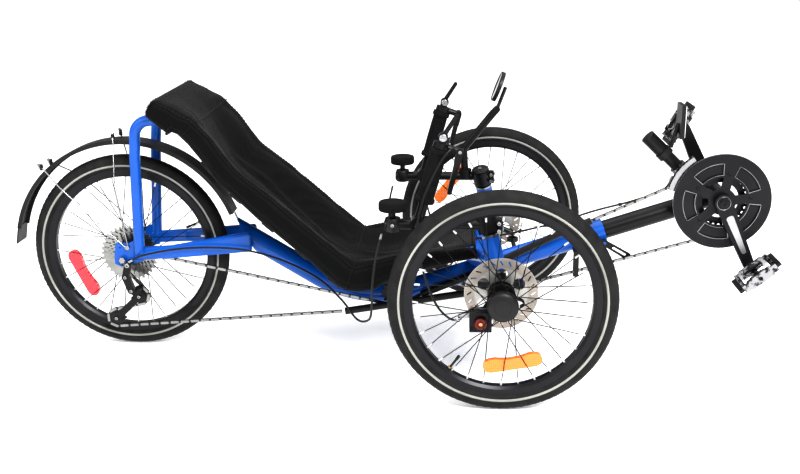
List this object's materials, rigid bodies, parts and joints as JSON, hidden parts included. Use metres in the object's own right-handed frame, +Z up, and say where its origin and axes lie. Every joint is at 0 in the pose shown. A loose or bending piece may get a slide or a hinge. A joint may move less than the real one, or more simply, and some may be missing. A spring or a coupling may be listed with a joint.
{
  "type": "adult recumbent tricycle",
  "caption": "Recumbent tricycle with steered front wheels, a chain-driven rear wheel, a reclined mesh seat and a boom-mounted crankset",
  "frame": {"origin": "on the ground at the middle of the tricycle's footprint", "axes": "+X forward, +Y to the rider's left, +Z up"},
  "size_m": [1.8123, 0.778, 0.6512],
  "materials": {
    "frame_paint": "gloss blue paint",
    "black_metal": "satin black anodised or painted metal",
    "rim_black": "black anodised, satin",
    "ring_black": "black anodised with bright machined edges",
    "aluminium": "satin",
    "steel": "bright",
    "chain_steel": "nickel plated",
    "rotor_steel": "brushed, slightly warm",
    "tyre": "black with a pale sidewall stripe",
    "foam": "matt black foam",
    "seat_mesh": "black woven mesh",
    "black_plastic": "satin",
    "cable_housing": "satin",
    "amber_reflector": "clear orange prism plastic",
    "red_reflector": "clear red prism plastic",
    "white_reflector": "clear prism plastic"
  },
  "bodies": {
    "frame": {"main_tube": "frame_paint", "cross_member": "frame_paint", "rear_stays": "frame_paint", "seat_frame": "frame_paint", "seat_sling": "seat_mesh", "headset_cups": "steel", "boom": "black_metal", "accessory_post": "black_metal", "front_reflector": "white_reflector", "front_derailleur": "steel", "rear_derailleur": "black_metal", "chain": "chain_steel", "chain_tubes": "black_plastic", "shift_cables": "cable_housing", "rear_mudguard": "black_plastic", "mudguard_stays": "steel"},
    "boom_lever": {"boom_lever": "black_metal"},
    "crankset": {"crank_arms": "black_metal", "chainrings": "ring_black"},
    "right_pedal": {"right_pedal": "aluminium"},
    "left_pedal": {"left_pedal": "aluminium"},
    "cassette": {"cassette": "chain_steel"},
    "upper_jockey": {"upper_jockey": "black_plastic"},
    "lower_jockey": {"lower_jockey": "black_plastic"},
    "power_idler": {"power_idler": "black_plastic"},
    "rear_wheel": {"rear_tyre": "tyre", "rear_rim": "rim_black", "rear_hub": "rim_black", "rear_reflector": "red_reflector"},
    "tie_rod": {"tie_rod": "black_metal"},
    "right_steering": {"right_kingpin": "black_metal", "right_handlebar": "black_metal", "right_grip": "foam", "right_wrist_rest": "foam", "right_caliper": "black_metal", "right_brake_cable": "cable_housing"},
    "right_wheel": {"right_tyre": "tyre", "right_rim": "rim_black", "right_hub": "rim_black", "right_rotor": "rotor_steel", "right_reflector": "amber_reflector"},
    "right_brake_lever": {"right_brake_lever": "black_metal"},
    "right_shift_lever": {"right_shift_lever": "aluminium"},
    "right_caliper_arm": {"right_caliper_arm": "steel"},
    "left_steering": {"left_kingpin": "black_metal", "left_handlebar": "black_metal", "left_grip": "foam", "left_wrist_rest": "foam", "left_caliper": "black_metal", "left_brake_cable": "cable_housing"},
    "left_wheel": {"left_tyre": "tyre", "left_rim": "rim_black", "left_hub": "rim_black", "left_rotor": "rotor_steel", "left_reflector": "amber_reflector"},
    "left_brake_lever": {"left_brake_lever": "black_metal"},
    "left_shift_lever": {"left_shift_lever": "aluminium"},
    "left_caliper_arm": {"left_caliper_arm": "steel"},
    "mirror": {"left_mirror": "black_plastic"}
  },
  "joints": [
    {"name": "crank_spin", "type": "hinge", "parent": "frame", "child": "crankset", "pos_m": [0.79363, 0, 0.3873], "axis": [0, 1, 0], "continuous": true},
    {"name": "right_pedal_spin", "type": "hinge", "parent": "crankset", "child": "right_pedal", "pos_m": [0.86336, -0.13, 0.23776], "axis": [0, 1, 0], "continuous": true},
    {"name": "left_pedal_spin", "type": "hinge", "parent": "crankset", "child": "left_pedal", "pos_m": [0.7239, 0.13, 0.53684], "axis": [0, 1, 0], "continuous": true},
    {"name": "cassette_spin", "type": "hinge", "parent": "frame", "child": "cassette", "pos_m": [-0.6247, -0.044, 0.244], "axis": [0, 1, 0], "continuous": true},
    {"name": "upper_jockey_spin", "type": "hinge", "parent": "frame", "child": "upper_jockey", "pos_m": [-0.5967, -0.058, 0.145], "axis": [0, 1, 0], "continuous": true},
    {"name": "lower_jockey_spin", "type": "hinge", "parent": "frame", "child": "lower_jockey", "pos_m": [-0.6577, -0.058, 0.088], "axis": [0, 1, 0], "continuous": true},
    {"name": "power_idler_spin", "type": "hinge", "parent": "frame", "child": "power_idler", "pos_m": [0.0293, -0.037, 0.149], "axis": [0, 1, 0], "continuous": true},
    {"name": "rear_wheel_spin", "type": "hinge", "parent": "frame", "child": "rear_wheel", "pos_m": [-0.6247, 0, 0.244], "axis": [0, 1, 0], "continuous": true},
    {"name": "boom_lever_swing", "type": "hinge", "parent": "frame", "child": "boom_lever", "pos_m": [0.5313, -0.036, 0.28], "axis": [0, 1, 0], "range_deg": [0, 100]},
    {"name": "right_steer", "type": "hinge", "parent": "frame", "child": "right_steering", "pos_m": [0.2753, -0.273, 0.244], "axis": [-0.1986, 0.2963, 0.9342], "range_deg": [-25, 25]},
    {"name": "right_wheel_spin", "type": "hinge", "parent": "right_steering", "child": "right_wheel", "pos_m": [0.2753, -0.35, 0.244], "axis": [0, 1, 0], "continuous": true},
    {"name": "right_brake_pull", "type": "hinge", "parent": "right_steering", "child": "right_brake_lever", "pos_m": [0.1853, -0.235, 0.544], "axis": [0, 1, 0], "range_deg": [0, 13], "stiffness_Nm_per_rad": 0.6},
    {"name": "right_caliper_pull", "type": "hinge", "parent": "right_steering", "child": "right_caliper_arm", "pos_m": [0.2313, -0.256, 0.184], "axis": [0, 1, 0], "range_deg": [0, 19.5]},
    {"name": "right_shift", "type": "hinge", "parent": "right_steering", "child": "right_shift_lever", "pos_m": [0.14945, -0.235, 0.57441], "axis": [0, 1, 0], "range_deg": [-55, 10]},
    {"name": "left_steer", "type": "hinge", "parent": "frame", "child": "left_steering", "pos_m": [0.2753, 0.273, 0.244], "axis": [-0.1986, -0.2963, 0.9342], "range_deg": [-25, 25]},
    {"name": "left_wheel_spin", "type": "hinge", "parent": "left_steering", "child": "left_wheel", "pos_m": [0.2753, 0.35, 0.244], "axis": [0, 1, 0], "continuous": true},
    {"name": "left_brake_pull", "type": "hinge", "parent": "left_steering", "child": "left_brake_lever", "pos_m": [0.1853, 0.235, 0.544], "axis": [0, 1, 0], "range_deg": [0, 13], "stiffness_Nm_per_rad": 0.6},
    {"name": "left_caliper_pull", "type": "hinge", "parent": "left_steering", "child": "left_caliper_arm", "pos_m": [0.2313, 0.256, 0.184], "axis": [0, 1, 0], "range_deg": [0, 19.5]},
    {"name": "left_shift", "type": "hinge", "parent": "left_steering", "child": "left_shift_lever", "pos_m": [0.14945, 0.235, 0.57441], "axis": [0, 1, 0], "range_deg": [-55, 10]},
    {"name": "mirror_turn", "type": "hinge", "parent": "left_steering", "child": "mirror", "pos_m": [0.2843, 0.235, 0.556], "axis": [0, 1, 0], "range_deg": [-20, 20]},
    {"name": "tie_rod_move", "type": "hinge", "parent": "frame", "child": "tie_rod", "pos_m": [0.6336, 0, 0.4434], "axis": [0.6334, 0, -0.7738], "range_deg": [-3, 3]}
  ],
  "couplings": [
    {"joint": "cassette_spin", "follows": "crank_spin", "ratio": 3.5455},
    {"joint": "upper_jockey_spin", "follows": "crank_spin", "ratio": -3.5455},
    {"joint": "lower_jockey_spin", "follows": "crank_spin", "ratio": 3.5455},
    {"joint": "power_idler_spin", "follows": "crank_spin", "ratio": -2.6},
    {"joint": "left_steer", "follows": "right_steer", "ratio": 1},
    {"joint": "tie_rod_move", "follows": "right_steer", "ratio": 0.1134},
    {"joint": "right_caliper_pull", "follows": "right_brake_pull", "ratio": 1.5},
    {"joint": "left_caliper_pull", "follows": "left_brake_pull", "ratio": 1.5}
  ]
}
